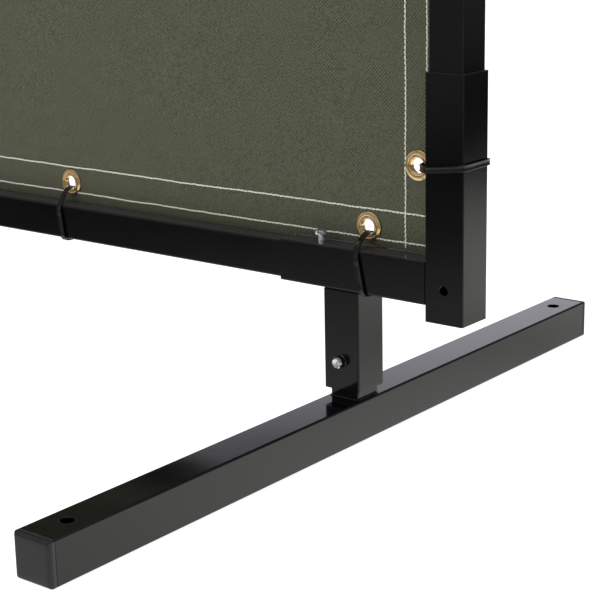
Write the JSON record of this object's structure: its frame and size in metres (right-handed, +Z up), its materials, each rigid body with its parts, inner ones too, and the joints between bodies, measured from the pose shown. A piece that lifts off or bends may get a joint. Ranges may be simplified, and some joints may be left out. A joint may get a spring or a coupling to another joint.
{
  "type": "welding curtain screen",
  "caption": "Free-standing welding screen: olive canvas curtain tied with cable ties into a knock-down frame of square steel tube on two foot bars, held by set bolts.",
  "frame": {"origin": "on the floor, under the middle of the screen", "axes": "+Z up, +X along the screen to the right as seen from the side the bolts face, +Y from that side through the curtain"},
  "size_m": [1.7548, 0.667, 1.8874],
  "materials": {
    "frame_steel": "semi-gloss black powder coat on square steel tube",
    "cap_plastic": "black moulded end plugs, fine matt texture",
    "zinc": "bright zinc-plated hexagon bolts",
    "canvas": "olive flame-retardant cotton duck, plain weave, off-white stitching, brass grommets",
    "tie_nylon": "black nylon cable ties"
  },
  "bodies": {
    "foot_right": {"foot_tube_right": "frame_steel", "foot_cap_right_front": "cap_plastic", "foot_cap_right_back": "cap_plastic", "foot_stub_right": "frame_steel"},
    "frame": {"leg_socket_right": "frame_steel", "leg_nut_right": "frame_steel", "post_right": "frame_steel", "post_cap_right": "cap_plastic", "leg_socket_left": "frame_steel", "leg_nut_left": "frame_steel", "post_left": "frame_steel", "post_cap_left": "cap_plastic", "rail_bottom": "frame_steel", "post_sleeve_bottom_right": "frame_steel", "rail_sleeve_bottom_right": "frame_steel", "post_sleeve_bottom_left": "frame_steel", "rail_sleeve_bottom_left": "frame_steel", "rail_top": "frame_steel", "post_sleeve_top_right": "frame_steel", "rail_sleeve_top_right": "frame_steel", "post_sleeve_top_left": "frame_steel", "rail_sleeve_top_left": "frame_steel", "curtain": "canvas", "tie_bottom_1": "tie_nylon", "tie_bottom_2": "tie_nylon", "tie_bottom_3": "tie_nylon", "tie_bottom_4": "tie_nylon", "tie_bottom_5": "tie_nylon", "tie_bottom_6": "tie_nylon", "tie_top_1": "tie_nylon", "tie_top_2": "tie_nylon", "tie_top_3": "tie_nylon", "tie_top_4": "tie_nylon", "tie_top_5": "tie_nylon", "tie_top_6": "tie_nylon", "tie_right_1": "tie_nylon", "tie_right_2": "tie_nylon", "tie_right_3": "tie_nylon", "tie_right_4": "tie_nylon", "tie_right_5": "tie_nylon", "tie_right_6": "tie_nylon", "tie_left_1": "tie_nylon", "tie_left_2": "tie_nylon", "tie_left_3": "tie_nylon", "tie_left_4": "tie_nylon", "tie_left_5": "tie_nylon", "tie_left_6": "tie_nylon"},
    "foot_left": {"foot_tube_left": "frame_steel", "foot_cap_left_front": "cap_plastic", "foot_cap_left_back": "cap_plastic", "foot_stub_left": "frame_steel"},
    "leg_bolt_right": {"leg_bolt_right": "zinc"},
    "leg_bolt_left": {"leg_bolt_left": "zinc"},
    "set_bolt_bottom_right": {"set_bolt_bottom_right": "zinc"},
    "set_bolt_bottom_left": {"set_bolt_bottom_left": "zinc"},
    "set_bolt_top_right": {"set_bolt_top_right": "zinc"},
    "set_bolt_top_left": {"set_bolt_top_left": "zinc"}
  },
  "joints": [
    {"name": "frame_lift", "type": "slide", "parent": "foot_right", "child": "frame", "axis": [0, 0, 1], "range_m": [0, 0.045]},
    {"name": "foot_left_slide", "type": "slide", "parent": "frame", "child": "foot_left", "axis": [0, 0, -1], "range_m": [0, 0.045]},
    {"name": "leg_bolt_right_turn", "type": "hinge", "parent": "frame", "child": "leg_bolt_right", "pos_m": [0.767, -0.016, 0.062], "axis": [0, -1, 0], "range_deg": [0, 360]},
    {"name": "leg_bolt_left_turn", "type": "hinge", "parent": "frame", "child": "leg_bolt_left", "pos_m": [-0.767, -0.016, 0.062], "axis": [0, -1, 0], "range_deg": [0, 360]},
    {"name": "set_bolt_bottom_right_turn", "type": "hinge", "parent": "frame", "child": "set_bolt_bottom_right", "pos_m": [0.7445, -0.009, 0.1489], "axis": [0, 0, 1], "range_deg": [0, 360]},
    {"name": "set_bolt_bottom_left_turn", "type": "hinge", "parent": "frame", "child": "set_bolt_bottom_left", "pos_m": [-0.7445, -0.009, 0.1489], "axis": [0, 0, 1], "range_deg": [0, 360]},
    {"name": "set_bolt_top_right_turn", "type": "hinge", "parent": "frame", "child": "set_bolt_top_right", "pos_m": [0.7445, -0.009, 1.8379], "axis": [0, 0, -1], "range_deg": [0, 360]},
    {"name": "set_bolt_top_left_turn", "type": "hinge", "parent": "frame", "child": "set_bolt_top_left", "pos_m": [-0.7445, -0.009, 1.8379], "axis": [0, 0, -1], "range_deg": [0, 360]}
  ],
  "couplings": [
    {"joint": "foot_left_slide", "follows": "frame_lift", "ratio": 1}
  ]
}
